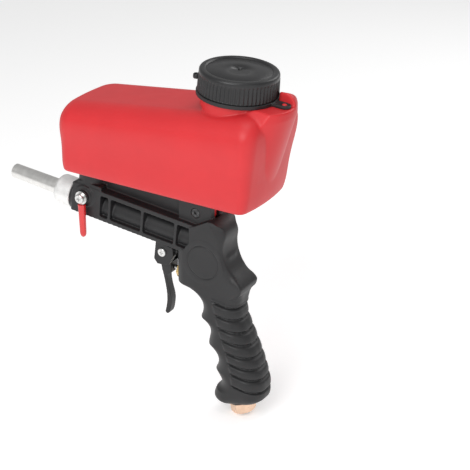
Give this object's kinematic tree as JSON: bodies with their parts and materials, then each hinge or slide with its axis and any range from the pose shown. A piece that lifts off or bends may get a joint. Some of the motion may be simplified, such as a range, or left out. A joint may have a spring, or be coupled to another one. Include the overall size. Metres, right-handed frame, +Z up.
{
  "type": "gravity-feed abrasive blasting gun",
  "caption": "Pistol-grip sandblasting gun with a top hopper and screw cap, steel nozzle, trigger air valve, quarter-turn media lever and a threaded air inlet under the grip.",
  "frame": {"origin": "centre of the air inlet's mouth, under the foot of the grip", "axes": "+Z up as the gun is held, +X to the rear, the muzzle points to -X and the media lever is on the -Y side"},
  "size_m": [0.2505, 0.075, 0.2783],
  "materials": {
    "body_black": "charcoal glass-filled plastic, fine satin grain",
    "trigger_black": "charcoal plastic, satin",
    "hopper_red": "blow-moulded red polyethylene, semi-matte",
    "cap_black": "black polypropylene, satin",
    "tether_black": "black flexible polyethylene",
    "sleeve_red": "dipped red vinyl, glossy",
    "nozzle_steel": "turned and polished",
    "bright_steel": "zinc plated, bright",
    "screw_black": "black oxide",
    "collar_aluminium": "light matt",
    "valve_brass": "turned, satin",
    "inlet_brass": "rose brass, satin",
    "filter_bronze": "sintered, matt",
    "seat_nylon": "natural nylon",
    "seal_rubber": "black nitrile",
    "liner_rubber": "pale foam rubber"
  },
  "bodies": {
    "gun": {"gun_body": "body_black", "valve_housing": "body_black", "hopper_socket": "body_black", "nozzle_spigot": "body_black", "pistol_grip": "body_black", "grip_heel": "body_black", "nozzle": "nozzle_steel", "nozzle_collar": "collar_aluminium", "nozzle_seal": "seal_rubber", "air_jet": "valve_brass", "air_tube": "collar_aluminium", "trigger_pivot_pin": "bright_steel", "pivot_clip": "bright_steel", "stem_gland": "valve_brass", "stem_ring": "seal_rubber", "valve_seat": "seat_nylon", "valve_spring": "bright_steel", "inlet_fitting": "inlet_brass", "inlet_washer": "seal_rubber", "inlet_filter": "filter_bronze", "hopper": "hopper_red", "hopper_neck": "hopper_red", "spout_collar": "hopper_red", "hopper_spout": "hopper_red", "hopper_outlet_seal": "seal_rubber", "rear_mount_screw": "screw_black", "rear_mount_nut": "bright_steel", "cap_tether": "tether_black"},
    "trigger": {"trigger": "trigger_black"},
    "valve_stem": {"valve_stem": "bright_steel"},
    "feed_valve": {"feed_valve_spool": "bright_steel", "spool_rings": "seal_rubber", "spool_clip": "bright_steel", "feed_lever": "bright_steel", "lever_washer": "bright_steel", "lever_screw": "bright_steel", "lever_sleeve": "sleeve_red"},
    "cap_lift": {"cap_liner": "liner_rubber"},
    "cap": {"cap": "cap_black"}
  },
  "joints": [
    {"name": "trigger_pivot", "type": "hinge", "parent": "gun", "child": "trigger", "pos_m": [-0.0665, 0, 0.1226], "axis": [0, -1, 0], "range_deg": [0, 12], "stiffness_Nm_per_rad": 1.5, "springref_deg": -14.32},
    {"name": "stem_slide", "type": "slide", "parent": "gun", "child": "valve_stem", "axis": [0.9936, 0, -0.1132], "range_m": [0, 0.0036], "deforming": ["valve_spring"]},
    {"name": "feed_valve_turn", "type": "hinge", "parent": "gun", "child": "feed_valve", "pos_m": [-0.13446, 0, 0.15517], "axis": [0, -1, 0], "range_deg": [0, 90]},
    {"name": "cap_rise", "type": "slide", "parent": "gun", "child": "cap_lift", "axis": [0.0854, 0, 0.9963], "range_m": [0, 0.0125]},
    {"name": "cap_turn", "type": "hinge", "parent": "cap_lift", "child": "cap", "pos_m": [-0.0043, 0, 0.2741], "axis": [0.0854, 0, 0.9963], "range_deg": [0, 900]}
  ],
  "couplings": [
    {"joint": "stem_slide", "follows": "trigger_pivot", "m_per_rad": 0.0171},
    {"joint": "cap_rise", "follows": "cap_turn", "m_per_rad": 0.00079577}
  ]
}
